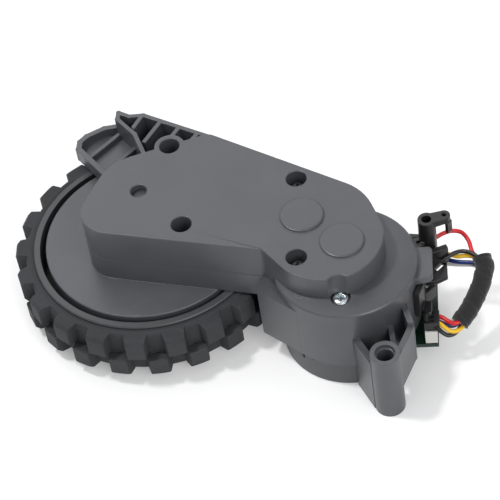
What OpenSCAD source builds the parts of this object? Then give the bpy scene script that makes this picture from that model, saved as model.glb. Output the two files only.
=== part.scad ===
// Wheel module of a floor cleaning robot, lying on its side with the wheel axle upright.
// The origin is on the wheel axle, level with the lowest face of the motor cap.
// +X runs from the wheel axle to the motor axis, +Z along both axes, out of the gear case cover.

/* [Gear case] */
// Thickness of the gear case cover's top
cover_skin = 1.8; // [1.4:0.1:2.2]
// Height of the seam between the cover and the arm
parting_z = 23.5; // [23:0.1:24]
// Wall of the gear case
case_wall = 1.6; // [1.2:0.1:2]
// Step of the gear case walls at the seam, outwards below the cover
case_step = 0.1; // [0.1:0.1:0.6]
// Radius of the counterbored screw holes in the cover
hole_r = 2.5; // [2.2:0.1:2.8]
// Wall around each screw hole
tube_wall = 0.9; // [0.7:0.1:1.1]
// Distance of the two open holes from the wheel axle
open_hole_dist = 16.4; // [16:0.1:17]

/* [Wheel] */
// Radius over the tread lugs
tyre_r = 34.6; // [34:0.1:35.6]
// Radius at the bottom of the tread
tread_floor_r = 31.8; // [31:0.1:32.4]
// Thickness of the tyre under the bottom of the tread
tyre_t = 2.1; // [1.8:0.1:2.5]
// Wall of the rim's barrel
rim_wall = 1.7; // [1.4:0.1:2]
// Lowest face of the tyre
tyre_bottom = 2.4; // [2:0.1:3]
// Width of the tyre
tyre_w = 13.4; // [12.6:0.1:13.6]
// Lugs in each of the two rows
lugs = 21; // [16:1:24]
// Width of a lug across its outer face
lug_face = 4.6; // [3.6:0.1:5]
// Slope of a lug's sides, sideways from tread floor to face
lug_slope = 0.7; // [0.3:0.1:1]
// Groove between the two rows of lugs
row_gap = 0.6; // [0.3:0.1:1]

/* [Dust disc] */
// Gap between the fixed disc and the rim's barrel
disc_gap = 1.5; // [1:0.1:2]
// Top of the disc
disc_top = 16.5; // [16.3:0.1:16.8]
// Thickness of the disc
disc_t = 1.8; // [1.4:0.1:2.2]

/* [Gears] */
// Play between meshing teeth at the pitch circle
backlash = 0.16; // [0.12:0.01:0.24]
// Teeth of the motor pinion
pinion_teeth = 15; // [15:1:15]
// Teeth of the first gear, driven by the pinion
first_teeth = 29; // [29:1:29]
// Teeth of each compound gear's small rim
small_teeth = 13; // [13:1:13]
// Teeth of the second, third and fourth gear's large rim
large_teeth = 25; // [25:1:25]
// Teeth of the small rim that drives the output gear
last_teeth = 12; // [12:1:12]
// Teeth of the output gear
output_teeth = 30; // [30:1:30]
// Face width of the compound gears' rims
gear_w = 2.1; // [1.8:0.1:2.2]
// Radius of the steel gear pins
pin_r = 1; // [0.8:0.1:1.2]
// Radial running clearance of a shaft in its bore
running = 0.05; // [0.03:0.01:0.08]

/* [Motor] */
// Gap between the tread and the motor housing
wheel_gap = 2.4; // [2:0.1:3]
// Radius of the motor housing
housing_r = 17.6; // [17.2:0.1:18]
// Rim of the motor housing's shoulder
rim_z = 24.3; // [24.3:0.1:24.6]
// Wall of the motor housing
housing_wall = 1.8; // [1.4:0.1:2.2]
// Height of the seam between the housing and its cap
cap_top = 7.5; // [6.5:0.5:8.5]
// Step from the housing in to the cap
cap_step = 0.3; // [0.2:0.1:0.6]
// Gap between the motor can and the housing's wall
can_gap = 2.2; // [1.8:0.1:2.8]
// Radius of the motor shaft
shaft_r = 1.15; // [1:0.05:1.25]

/* [Hinge barrel] */
// Place of the barrel, along X from the motor axis
barrel_dx = 17.4; // [17:0.1:18]
// Place of the barrel, along Y from the motor axis
barrel_dy = -19.1; // [-19.6:0.1:-18.6]
// Outer radius of the barrel
barrel_r = 3.7; // [3.4:0.1:4]
// Radius of the barrel's bore
barrel_bore_r = 2; // [1.6:0.1:2.2]
// Height of the barrel
barrel_h = 20.3; // [19:0.1:21]

/* [Wiring] */
// Diameter of one wire
wire_d = 1.1; // [0.9:0.05:1.2]
// Diameter of the taped bundle
bundle_d = 5; // [4.6:0.1:5.4]

/* [Hidden] */
$fn = 64;

eps = 0.02;
// The wheel and the motor housing stand side by side, and the gear train fills the way between them
motor_x = tyre_r + wheel_gap + housing_r;
tooth_module = motor_x / 91;
dark_grey = [0.36, 0.36, 0.38];
mid_grey = [0.42, 0.42, 0.44];
near_black = [0.13, 0.13, 0.14];
steel = [0.75, 0.76, 0.78];
acetal = [0.93, 0.92, 0.88];

// Heights inside the gear case
floor_t = 1.9;
case_floor = disc_top + floor_t;
motor_floor = rim_z + 0.5;
level_step = gear_w + 0.3;
level_5 = case_floor + 0.4;
level_4 = level_5 + level_step + 0.3;
level_3 = level_4 + level_step;
level_2 = level_3 + level_step;
level_1 = level_2 + level_step;
ceiling_z = level_1 + gear_w + 0.9;
cover_top = ceiling_z + cover_skin;

cap_r = housing_r - cap_step;
can_r = housing_r - housing_wall - can_gap;
rim_r = tread_floor_r - tyre_t;
rim_inner_r = rim_r - rim_wall;
disc_r = rim_inner_r - disc_gap;

// Places of the gear axes: each lies one centre distance from its neighbours
function pitch_r(teeth) = teeth * tooth_module / 2;
last_dist = pitch_r(last_teeth) + pitch_r(output_teeth);
mid_dist = pitch_r(small_teeth) + pitch_r(large_teeth);
first_dist = pitch_r(pinion_teeth) + pitch_r(first_teeth);
wheel_at = [0, 0];
motor_at = [motor_x, 0];
fourth_at = last_dist * [cos(24), sin(24)];
first_at = motor_at + first_dist * [-cos(20.4), sin(20.4)];
second_at = first_at + mid_dist * [-cos(10.8), -sin(10.8)];
third_at = meeting_point(fourth_at, second_at, mid_dist);

// The point at distance d from both a and b, on the left of the way from b to a
function meeting_point(a, b, d) =
  let (m = (a + b) / 2, v = b - a, l = norm(v), h = sqrt(d * d - l * l / 4))
  m + h * [-v[1], v[0]] / l;

// Places of the screw holes
open_hole_a = open_hole_dist * [cos(86.8), sin(86.8)];
open_hole_b = open_hole_dist * [cos(-24.6), sin(-24.6)];
screw_hole_a = motor_at + [-18.5, 15.6];
screw_hole_b = motor_at + [-8.6, -8];
screw_seat_z = 28.9;
open_seat_z = 20.4;
case_screw_at = motor_at + [3.6, -11.4];
case_head_r = 2.2;
notch_r = 2.9;
motor_screw_at = [for (a = [75, 255]) motor_at + 8 * [cos(a), sin(a)]];
barrel_at = motor_at + [barrel_dx, barrel_dy];

// Outline of the cover's top, as corners with their fillet radii, anticlockwise
end_r = 13.9;
end_x = motor_x + 9.6;
cover_corners = [
  [-11.9, -17.1, 8],
  [motor_x - 17.4, -8.4, 3],
  [end_x, -23.5, end_r],
  [end_x, 5.6, 13],
  [motor_x - 1.3, 17.4, 14],
  [8.7, 23.4, 3],
  [-11.3, 6.6, 13]
];
bulge_r = hole_r + 1.4;

function unit(v) = v / norm(v);
function xy(c) = [c[0], c[1]];
function turned(v) = [-v[1], v[0]];
function corner_at(c, i) = c[(i + len(c)) % len(c)];

// Moves every edge inwards by d, and keeps the arcs round
function inset(c, d) = [
  for (i = [0 : len(c) - 1])
    let (
      p = xy(c[i]),
      a = unit(p - xy(corner_at(c, i - 1))),
      b = unit(xy(corner_at(c, i + 1)) - p),
      na = turned(a),
      nb = turned(b),
      bend = a[0] * b[1] - a[1] * b[0],
      q = p + d * (na + nb) / (1 + na * nb)
    )
    [q[0], q[1], c[i][2] - sign(bend) * d]
];

// Points of the outline with an arc of about 7 degrees a step at each corner
function arc_points(p, q, r, s) =
  let (
    u = unit(p - q),
    v = unit(s - q),
    half = acos(u * v) / 2,
    mid = q + unit(u + v) * r / sin(half),
    from = q + u * r / tan(half) - mid,
    start = atan2(from[1], from[0]),
    bend = sign(u[1] * v[0] - u[0] * v[1]),
    turn = 180 - 2 * half,
    n = max(2, ceil(turn / 7))
  )
  [for (k = [0 : n]) mid + r * [cos(start + bend * turn * k / n), sin(start + bend * turn * k / n)]];
function outline(c) = [
  for (i = [0 : len(c) - 1])
    each arc_points(xy(corner_at(c, i - 1)), xy(c[i]), c[i][2], xy(corner_at(c, i + 1)))
];

// Upright prism on an outline moved inwards by d
module prism(c, d, z0, z1) {
  translate([0, 0, z0]) linear_extrude(z1 - z0) polygon(outline(inset(c, d)));
}

module rod(at, r, z0, z1) {
  translate([at[0], at[1], z0]) cylinder(r = r, h = z1 - z0);
}

module tube(at, r, bore, z0, z1) {
  difference() {
    rod(at, r, z0, z1);
    rod(at, bore, z0 - 1, z1 + 1);
  }
}

// Upright wall between two points
module wall(a, b, t, z0, z1) {
  side = turned(unit(b - a)) * t / 2;
  translate([0, 0, z0]) linear_extrude(z1 - z0) polygon([a - side, b - side, b + side, a + side]);
}

// Gear teeth

function involute(a) = tan(a) * 180 / PI - a;
function half_tooth(teeth, r) =
  let (base = pitch_r(teeth) * cos(20), play = backlash / 4 / pitch_r(teeth) * 180 / PI)
  90 / teeth + involute(20) - involute(acos(min(1, base / r))) - play;
function at_angle(r, a) = [r * cos(a), r * sin(a)];
function gear_points(teeth) =
  let (
    pr = pitch_r(teeth),
    radii = [for (m = [-1.25, -0.45, 0, 0.55, 0.95]) pr + m * tooth_module]
  )
  [for (k = [0 : teeth - 1])
    let (mid = 360 * k / teeth)
    each concat(
      [for (r = radii) at_angle(r, mid - half_tooth(teeth, r))],
      [for (i = [4 : -1 : 0]) at_angle(radii[i], mid + half_tooth(teeth, radii[i]))]
    )];

// Direction from one axis to another
function bearing(a, b) = atan2(b[1] - a[1], b[0] - a[0]);

// A toothed rim with a tooth, or a gap, towards another axis
module rim(at, teeth, towards, gap, z0, h) {
  turn = bearing(at, towards) + (gap ? 180 / teeth : 0);
  translate([at[0], at[1], z0]) rotate(turn) linear_extrude(h) polygon(gear_points(teeth));
}

// A compound gear: a large rim driven by the gear before, and a small rim below it
module compound(at, large, before, small, after, z_large, z_small) {
  difference() {
    union() {
      rim(at, large, before, true, z_large, gear_w);
      rim(at, small, after, false, z_small, z_large - z_small + eps);
      rod(at, pin_r + 0.8, z_large, ceiling_z - 0.9);
    }
    rod(at, pin_r + running, z_small - 1, cover_top);
    translate([at[0], at[1], z_large + gear_w - 0.6])
      difference() {
        cylinder(r = pitch_r(large) - 1.7, h = gear_w);
        cylinder(r = pin_r + 1.7, h = gear_w * 3, center = true);
      }
  }
}

module first_gear() {
  color(acetal) compound(first_at, first_teeth, motor_at, small_teeth, second_at, level_1, level_2 + 0.1);
}

module second_gear() {
  color(acetal) compound(second_at, large_teeth, first_at, small_teeth, third_at, level_2, level_3 + 0.1);
}

module third_gear() {
  color(acetal) compound(third_at, large_teeth, second_at, small_teeth, fourth_at, level_3, level_4 + 0.1);
}

module fourth_gear() {
  color(acetal) compound(fourth_at, large_teeth, third_at, last_teeth, wheel_at, level_4, level_5 + 0.1);
}

axle_r = 2.5;
output_w = 2.6;
output_hub_r = last_dist - pitch_r(large_teeth) - tooth_module - 0.4;
module output_gear() {
  color(acetal) difference() {
    union() {
      rim(wheel_at, output_teeth, fourth_at, true, level_5, output_w);
      rod(wheel_at, output_hub_r, level_5, level_5 + 6);
    }
    rod(wheel_at, axle_r, level_5 - 1, level_5 + 7);
    translate([0, 0, level_5 + output_w - 0.7])
      tube(wheel_at, pitch_r(output_teeth) - 1.4, output_hub_r + 0.5, 0, 2);
  }
}

module motor_pinion() {
  color("goldenrod") difference() {
    rim(motor_at, pinion_teeth, first_at, false, level_1 - 2, gear_w + 1.9);
    rod(motor_at, shaft_r, 0, cover_top);
  }
}

pin_bosses = [[second_at, level_3], [third_at, level_4], [fourth_at, level_5]];
pin_bottom = case_floor - 1.1;
pin_top = ceiling_z + 0.8;
module gear_pins() {
  color(steel) {
    rod(first_at, pin_r, motor_floor - 1.1, pin_top);
    for (at = [second_at, third_at, fourth_at]) rod(at, pin_r, pin_bottom, pin_top);
  }
}

// Gear case

pocket_gap = 0.06;
module cavity(z0, z1) {
  prism(cover_corners, case_wall, z0, z1);
}

// The shoulder rises from the rim of the motor housing to the cover's skirt
shoulder_r = 11.6;
shoulder_z = rim_z + 2.8;
shoulder_edge = rim_z + 1.9;
module shoulder() {
  translate([motor_x, 0, 0]) rotate_extrude($fn = 96)
    polygon([[0, rim_z - 3], [housing_r, rim_z - 3], [housing_r, shoulder_edge - 0.35],
      [housing_r - 0.35, shoulder_edge], [shoulder_r, shoulder_z], [0, shoulder_z]]);
}

module gear_case_cover() {
  color(mid_grey) difference() {
    union() {
      difference() {
        union() {
          prism(cover_corners, 0, parting_z, cover_top);
          rod(open_hole_a, bulge_r, parting_z, cover_top);
        }
        difference() {
          cavity(parting_z - 1, ceiling_z);
          rod(case_screw_at, notch_r + 1.3, parting_z, cover_top);
        }
      }
      boss_top(first_at, 5.4, 0.75);
      boss_top(motor_at, 5.4, 0.75);
      for (at = [open_hole_a, open_hole_b]) rod(at, hole_r + tube_wall, parting_z, ceiling_z + eps);
      for (at = [screw_hole_a, screw_hole_b])
        rod(at, hole_r + tube_wall, motor_floor + pocket_gap, ceiling_z + eps);
      for (at = [first_at, second_at, third_at, fourth_at])
        rod(at, pin_r + 1.1, ceiling_z - 0.6, ceiling_z + eps);
      rod(wheel_at, bush_r + 1.4, ceiling_z - 3, ceiling_z + eps);
    }
    shoulder();
    for (at = [open_hole_a, open_hole_b]) rod(at, hole_r, 0, cover_top + 2);
    for (at = [screw_hole_a, screw_hole_b]) {
      rod(at, hole_r, screw_seat_z, cover_top + 2);
      rod(at, screw_r + 0.2, 0, cover_top);
    }
    rod(case_screw_at + [0.5, -1.4], notch_r, 0, cover_top + 2);
    rod(wheel_at, 2, 0, cover_top + 2);
    rod(wheel_at, bush_r, 0, ceiling_z);
    rod(first_at, pitch_r(first_teeth) + tooth_module + 0.3, level_1 - 0.4, ceiling_z - 0.6);
    for (at = [first_at, second_at, third_at, fourth_at]) rod(at, pin_r + 0.03, 0, pin_top + 0.1);
  }
}

// A low round boss on the cover with a chamfered edge
module boss_top(at, r, h) {
  translate([at[0], at[1], cover_top]) rotate_extrude()
    polygon([[0, -eps], [r, -eps], [r, h - 0.35], [r - 0.45, h], [0, h]]);
}

// The fixed disc inside the wheel, with its lip and the tube that carries the axle
hub_bottom = 9.6;
bush_r = 4;
module dust_disc() {
  rotate_extrude($fn = 128)
    polygon([[0, disc_top - disc_t], [disc_r - 1.4, disc_top - disc_t], [disc_r - 1.4, disc_top - 4.5],
      [disc_r, disc_top - 4.5], [disc_r, disc_top - 0.25], [disc_r - 0.25, disc_top], [0, disc_top]]);
  rod(wheel_at, bush_r + 2, hub_bottom, disc_top);
  for (a = [0 : 60 : 300])
    rotate(a) translate([bush_r + 1.5, -0.7, disc_top - 4.2]) cube([disc_r - bush_r - 2.4, 1.4, 3]);
}

// The housing's fairing towards the wheel
fairing = [
  [motor_x - 18, -13.3],
  [motor_x - 6.2, -housing_r + 1.1],
  [motor_x, -6],
  [motor_x - 15, -6],
  [motor_x - 18.6, -9.3]
];

// Ribbed wing and its lower tray, over the back of the wheel
wing_top = 24.8;
wing_floor = disc_top + 0.4;
tray_top = 20.8;
wing_outer = [[12.4, 23.7], [8, 29.4], [-15.2, 31.7], [-18.6, 30.2], [-21.9, 30.6]];
wing_diagonal = [[-21.9, 30.6], [-21.2, 28.4], [-14.4, 24.8], [-7.6, 17.6]];
tray_outline = [
  [-15.6, 11.4], [-25.2, 16.9], [-28.6, 18.8], [-29.4, 21.2],
  [-28.6, 23.6], [-25.4, 27.6], [-20.9, 30.2], [-4, 20]
];
wing_wall = 1.2;
post_extra = 0.1;

module ribbed_wing() {
  translate([0, 0, wing_floor]) linear_extrude(1.2)
    polygon(concat(wing_outer, [[-21, 28.4], [-14, 24.4], [-7, 17], [2, 17]]));
  for (i = [0 : len(wing_outer) - 2])
    wall(wing_outer[i], wing_outer[i + 1], wing_wall, wing_floor, wing_top);
  for (i = [0 : len(wing_diagonal) - 2])
    wall(wing_diagonal[i], wing_diagonal[i + 1], wing_wall, wing_floor, wing_top);
  for (p = wing_outer) rod(p, wing_wall / 2 + post_extra, wing_floor, wing_top);
  for (p = wing_diagonal) rod(p, wing_wall / 2 + post_extra, wing_floor, wing_top);
  for (k = [0 : 3]) {
    outer = [-15.4 + 5.6 * k, 31.6 - 0.5 * k];
    inner = [-15.8 + 5 * k, 26.3 - 3.6 * min(k, 2)];
    wall(outer, inner, wing_wall, wing_floor, wing_top);
  }
}

module wheel_tray() {
  translate([0, 0, wing_floor]) linear_extrude(1.3) polygon(tray_outline);
  for (i = [0 : 5]) wall(tray_outline[i], tray_outline[i + 1], 1.5, wing_floor, tray_top);
  for (i = [1 : 5]) rod(tray_outline[i], 0.75 + post_extra, wing_floor, tray_top);
  wall([-20.6, 29.4], [-25, 17.4], 1.2, wing_floor, tray_top - 1);
  wall([-14.8, 25], [-18.6, 14.4], 1.2, wing_floor, tray_top - 1);
}

// Webs that carry the hinge barrel on the housing
web_foot = motor_at + at_angle(housing_r - 0.3, -61.6);
web_root = motor_at + at_angle(housing_r - 0.4, -15);
web_corner = motor_at + at_angle(housing_r + 4.6, -24.5);
rib_root = motor_at + at_angle(housing_r - 0.2, -31.5);
module barrel_webs() {
  wall(web_foot, barrel_at + [-2.6, -1.6], 1.7, 0, 17.6);
  wall(barrel_at + [2.8, 0.4], web_corner, 1.5, cap_top, 19.8);
  wall(web_corner, web_root, 1.5, cap_top, 21.4);
  rod(web_corner, 0.75 + post_extra, cap_top, 19.8);
  wall(barrel_at + [1.4, 2.6], rib_root, 1.3, cap_top, 17.8);
}

// A place d outside the housing's wall, at angle a about the motor axis
function around_motor(d, a) = motor_at + at_angle(housing_r + d, a);

// Flange on the housing's side, over the wire bracket
module housing_flange() {
  corners = [
    concat(around_motor(-0.6, 3.6), 0.3),
    concat(around_motor(3.9, 10.4), 1.6),
    concat(around_motor(4.1, 35.6), 1.2),
    concat(around_motor(-0.6, 39), 0.3)
  ];
  prism(corners, 0, rim_z - 2.4, rim_z - 0.3);
}

screw_r = 1.25;
module gear_case_body() {
  color(dark_grey) difference() {
    union() {
      difference() {
        union() {
          prism(cover_corners, -case_step, disc_top - eps, parting_z);
          rod(open_hole_a, bulge_r + case_step, disc_top, parting_z);
          dust_disc();
          rod(motor_at, housing_r, cap_top, rim_z - 1);
          shoulder();
          translate([0, 0, cap_top]) linear_extrude(parting_z - cap_top) polygon(fairing);
          difference() {
            ribbed_wing();
            prism(cover_corners, -pocket_gap, parting_z, cover_top);
            rod(open_hole_a, bulge_r + pocket_gap, parting_z, cover_top);
          }
          wheel_tray();
          housing_flange();
        }
        difference() {
          cavity(case_floor, parting_z + 0.5);
          rod(motor_at, housing_r, 0, rim_z + 3);
        }
        intersection() {
          cavity(motor_floor, cover_top);
          rod(motor_at, housing_r + 1, 0, cover_top);
        }
        rod(motor_at, housing_r - housing_wall, 0, rim_z - 1.8);
      }
      barrel_webs();
      rod(barrel_at, barrel_r, 0, barrel_h);
      for (at = [open_hole_a, open_hole_b])
        rod(at, hole_r + tube_wall, disc_top, parting_z - pocket_gap);
      rod(screw_hole_a, hole_r + tube_wall, disc_top, parting_z);
      intersection() {
        rod(screw_hole_a, hole_r + tube_wall, parting_z - eps, motor_floor);
        prism(cover_corners, case_wall + pocket_gap, parting_z - 1, cover_top);
      }
      for (g = pin_bosses) rod(g[0], pin_r + 0.9, disc_top, g[1]);
      rod(first_at, pin_r + 0.9, rim_z - 1, level_2 - 0.1);
      rod(case_screw_at, case_head_r + 0.2, rim_z - 1, case_screw_z);
      rod(wheel_at, bush_r + 1, disc_top, level_5 - 0.1);
    }
    rod(motor_at, cap_r + 0.15, -1, cap_top);
    rod(motor_at, 3.3, 0, rim_z + 2);
    for (at = motor_screw_at) rod(at, screw_r + 0.15, 0, rim_z + 2);
    rod(barrel_at, barrel_bore_r, -1, barrel_h + 1);
    rod(barrel_at, barrel_bore_r + 0.45, barrel_h - 1.2, barrel_h + 1);
    rod(wheel_at, axle_r + 0.6, 0, level_5 + 1);
    rod(wheel_at, bush_r, 0, disc_top - 0.6);
    for (at = [open_hole_a, open_hole_b]) {
      rod(at, hole_r, open_seat_z, parting_z + 8);
      rod(at, screw_r, disc_top + 1, open_seat_z + 1);
    }
    for (at = [screw_hole_a, screw_hole_b]) rod(at, screw_r, can_top + 0.1, motor_floor + 1);
    rod(case_screw_at, case_head_r + 0.2, case_screw_z, cover_top);
    rod(case_screw_at, screw_r, can_top + 0.1, cover_top);
    rod(first_at, pin_r + 0.03, motor_floor - 1.2, cover_top);
    for (at = [second_at, third_at, fourth_at]) rod(at, pin_r + 0.03, pin_bottom - 0.1, cover_top);
  }
}

// Screws

case_screw_z = rim_z + 1.3;
module pan_screw(at, head_r, head_h, r, z, length) {
  difference() {
    union() {
      translate([at[0], at[1], z]) rotate_extrude()
        polygon([[0, 0], [head_r, 0], [head_r, head_h * 0.4], [head_r * 0.8, head_h * 0.85],
          [head_r * 0.5, head_h], [0, head_h]]);
      rod(at, r, z - length, z + eps);
    }
    for (a = [0, 90])
      translate([at[0], at[1], z + head_h]) rotate(a + 20)
        cube([head_r * 1.15, head_r * 0.3, head_h], center = true);
  }
}

module cover_screws() {
  color("dimgray") for (at = [screw_hole_a, screw_hole_b])
    pan_screw(at, 2.1, 1.5, screw_r - 0.03, screw_seat_z, screw_seat_z - can_top - 0.3);
}

module case_screw() {
  color(steel)
    pan_screw(case_screw_at, case_head_r, 1.5, screw_r - 0.03, case_screw_z, case_screw_z - can_top - 0.3);
}

module motor_screws() {
  color("dimgray") for (at = motor_screw_at)
    pan_screw(at, 2, 1.3, screw_r - 0.03, motor_floor, 3.3);
}

// Wheel

tyre_top = tyre_bottom + tyre_w;
rim_top = tyre_top + 0.4;
web_z = 4.2;
web_t = 2;
hub_r = 6.5;
hub_top = hub_bottom - 0.5;
module wheel_rim() {
  color(mid_grey) difference() {
    union() {
      rotate_extrude($fn = 128)
        polygon([[0, web_z], [rim_inner_r - 0.5, web_z], [rim_inner_r, web_z - 1.4], [rim_r, web_z - 1.4],
          [rim_r, rim_top - 0.3], [rim_r - 0.3, rim_top], [rim_inner_r, rim_top],
          [rim_inner_r, web_z + web_t], [0, web_z + web_t]]);
      rod(wheel_at, hub_r, web_z, hub_top);
      rod(wheel_at, 9, web_z - 1.2, web_z + eps);
      for (a = [0 : 60 : 300])
        rotate(a) translate([hub_r - 1, -0.8, web_z + web_t - eps])
          cube([rim_inner_r - hub_r + 1.4, 1.6, 1.6]);
    }
    rod(wheel_at, axle_r, web_z + 0.6, hub_top + 1);
    rod(wheel_at, 1.4, 0, hub_top);
    rod(wheel_at, 4.2, 0, web_z - 0.2);
    for (a = [30 : 60 : 330])
      rotate(a) translate([(hub_r + rim_inner_r) / 2, 0, 0]) cylinder(r = 4.2, h = web_z + web_t + 1);
  }
}

// Outline of one row of lugs: a trapezoid for each lug, standing on a circle below the tread floor
function lug_row(shift) = [
  for (k = [0 : lugs - 1])
    let (
      a = 360 * (k + shift) / lugs,
      face = asin(lug_face / 2 / tyre_r),
      foot = asin((lug_face / 2 + lug_slope) / tread_floor_r),
      low = tread_floor_r - 1
    )
    each [at_angle(low, a - foot), at_angle(tread_floor_r, a - foot), at_angle(tyre_r, a - face),
      at_angle(tyre_r, a + face), at_angle(tread_floor_r, a + foot), at_angle(low, a + foot)]
];

lug_phase = 0.34;
module tyre() {
  row_h = (tyre_w - row_gap) / 2;
  color(near_black) difference() {
    union() {
      rotate_extrude($fn = 128)
        polygon([[rim_r, tyre_bottom + 0.2], [rim_r + 1, tyre_bottom],
          [tread_floor_r - 0.4, tyre_bottom + 0.3], [tread_floor_r, tyre_bottom + 1.2],
          [tread_floor_r, tyre_top - 1.2], [tread_floor_r - 0.4, tyre_top - 0.3],
          [rim_r + 1, tyre_top], [rim_r, tyre_top - 0.2]]);
      intersection() {
        union() {
          translate([0, 0, tyre_bottom + 0.3]) linear_extrude(row_h - 0.3) polygon(lug_row(lug_phase));
          translate([0, 0, tyre_top - row_h]) linear_extrude(row_h - 0.3) polygon(lug_row(lug_phase + 0.5));
        }
        rotate_extrude($fn = 128)
          polygon([[0, tyre_bottom], [tyre_r - 1.2, tyre_bottom], [tyre_r, tyre_bottom + 1.4],
            [tyre_r, tyre_top - 1.4], [tyre_r - 1.2, tyre_top], [0, tyre_top]]);
      }
    }
    cylinder(r = rim_r, h = tyre_top + 2, $fn = 128);
  }
}

axle_top = ceiling_z - 0.1;
module wheel_axle() {
  color(steel) difference() {
    rod(wheel_at, axle_r, web_z + 0.6, axle_top);
    rod(wheel_at, 1.2, 0, web_z + 5);
  }
}

module wheel_screw() {
  color(steel) difference() {
    union() {
      rod(wheel_at, 3.6, web_z - 1.9, web_z - 0.2);
      rod(wheel_at, 1.15, web_z - 0.3, web_z + 4.6);
    }
    translate([0, 0, web_z - 2]) cube([5, 0.9, 1.6], center = true);
    translate([0, 0, web_z - 2]) cube([0.9, 5, 1.6], center = true);
  }
}

module lower_axle_bush() {
  color("peru") tube(wheel_at, bush_r, axle_r + running, hub_bottom, disc_top - 0.6);
}

module upper_axle_bush() {
  color("peru") tube(wheel_at, bush_r, axle_r + running, ceiling_z - 3, ceiling_z);
}

// Motor

can_top = rim_z - 1.8;
can_bottom = 5.4;
can_wall = 0.8;
module motor_can() {
  color(steel) difference() {
    union() {
      rod(motor_at, can_r, can_bottom, can_top);
      rod(motor_at, 3.1, can_top - eps, can_top + 1.7);
    }
    rod(motor_at, can_r - can_wall, can_bottom - 1, can_top - can_wall);
    rod(motor_at, shaft_r + running, 0, cover_top);
    for (at = motor_screw_at) rod(at, screw_r, can_top - 2, can_top + 1);
  }
}

magnet_in = can_r - 2.6;
module motor_magnets() {
  color("dimgray") for (a = [0, 180])
    translate([motor_x, 0, can_bottom + 3.5]) rotate(a - 55) rotate_extrude(angle = 110)
      translate([magnet_in, 0]) square([can_r - can_wall - 0.02 - magnet_in, 11]);
}

bell_t = 1.8;
commutator_r = 2.8;
brush_in = commutator_r + 0.05;
brush_out = can_r - can_wall - 1.5;
brush_t = 2.2;
module motor_end_bell() {
  color("whitesmoke") difference() {
    union() {
      rod(motor_at, can_r - can_wall - 0.02, can_bottom, can_bottom + bell_t);
      rod(motor_at, 3.4, can_bottom - 1.2, can_bottom + eps);
    }
    rod(motor_at, shaft_r + running, 0, can_top);
    for (a = [0, 180])
      translate([motor_x, 0, can_bottom + bell_t - 0.8]) rotate(a)
        translate([brush_in - 0.1, -brush_t / 2 - 0.1, 0])
          cube([brush_out - brush_in + 0.2, brush_t + 0.2, 2]);
  }
}

module motor_brushes() {
  color("saddlebrown") for (a = [0, 180])
    translate([motor_x, 0, can_bottom + bell_t - 0.8]) rotate(a)
      translate([brush_in, -brush_t / 2, 0]) cube([brush_out - brush_in, brush_t, brush_t]);
}

armature_r = magnet_in - 0.6;
slot_at = armature_r - 3.5;
module motor_armature() {
  color("firebrick") difference() {
    rod(motor_at, armature_r, can_bottom + 4, can_bottom + 12.6);
    rod(motor_at, shaft_r, 0, cover_top);
    for (a = [0 : 120 : 240]) {
      rod(motor_at + at_angle(slot_at, a), 2.6, can_bottom, can_top);
      translate([motor_x, 0, can_bottom]) rotate(a)
        translate([slot_at, -0.8, 0]) cube([armature_r, 1.6, can_top]);
    }
  }
}

module commutator() {
  color("peru") tube(motor_at, commutator_r, shaft_r, can_bottom + 2.1, can_bottom + 3.9);
}

shaft_bottom = 2.2;
module motor_shaft() {
  color(steel) rod(motor_at, shaft_r, shaft_bottom, level_1 + gear_w + 0.2);
}

module encoder_magnet() {
  color("black") tube(motor_at, 3.4, shaft_r, shaft_bottom + 0.2, shaft_bottom + 1.6);
}

cap_floor = 1.6;
cap_wall = 1.7;

// One board lies under the motor, and its tab comes out through a notch in the cap's wall
board_t = 1.2;
board_z = can_bottom - 0.2 - board_t;
board_turn = 21.3;
tab_w = 20;
tab_out = housing_r + 3.9;
module circuit_board() {
  color("darkgreen") difference() {
    union() {
      rod(motor_at, cap_r - cap_wall - 1, board_z, board_z + board_t);
      on_board(0, -tab_w / 2, 0) cube([tab_out, tab_w, board_t]);
    }
    rod(motor_at, 4.6, 0, can_bottom);
    on_board(tab_out - 1.6, -tab_w / 2 + 4.6, -1) cylinder(r = 0.5, h = 4);
  }
}

// Places on the board: x outwards along the tab, y across it, z from the board's lower face
module on_board(x, y, z) {
  translate([motor_x, 0, board_z]) rotate(board_turn) translate([x, y, z]) children();
}

module motor_cap() {
  color(dark_grey) difference() {
    union() {
      translate([motor_x, 0, 0]) rotate_extrude($fn = 96)
        polygon([[0, 0], [cap_r - 0.3, 0], [cap_r, 0.3], [cap_r, cap_top], [cap_r - cap_wall, cap_top],
          [cap_r - cap_wall, cap_floor], [0, cap_floor]]);
      for (a = [45 : 90 : 315])
        rod(motor_at + at_angle(cap_r - 5.1, a), 1.6, cap_floor - eps, board_z);
    }
    for (a = [0 : 60 : 300])
      translate([motor_x, 0, 0]) rotate(a) translate([5, -0.6, -1]) cube([5, 1.2, 4]);
    translate([motor_x, 0, cap_top - 1.1]) rotate(-111) translate([cap_r - 0.8, 0, 0])
      cube([2, 0.7, 1.6], center = true);
    on_board(cap_r - 7, -tab_w / 2 - 0.2, 0) cube([9, tab_w + 0.4, cap_top]);
  }
}

// Wire bracket on the side of the housing

bracket_in = housing_r + 0.15;
bracket_t = 1.6;
bracket_top = rim_z - 2.6;
bracket_bottom = 9;
// A place beside the housing: d outside the bracket's inner face, at angle a about the motor axis
function beside(d, a) = motor_at + at_angle(bracket_in + d, a);
boss_at = beside(4.9, 49.5);
lobe_at = beside(9.3, 47.4);
boss_r = 2.2;
lobe_r = 1.5;
clip_corners = [
  beside(1.2, 17), beside(4.3, 18.6), beside(6.8, 22.1), beside(7.2, 33.3), beside(5, 37.4),
  beside(1.2, 36.5)
];
hook_corners = [
  beside(0.4, 1), beside(0.6, 7), beside(1.8, 8.6), beside(3.1, 9), beside(4.1, 0), beside(3.2, -1.8),
  beside(2.2, -0.8)
];

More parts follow.
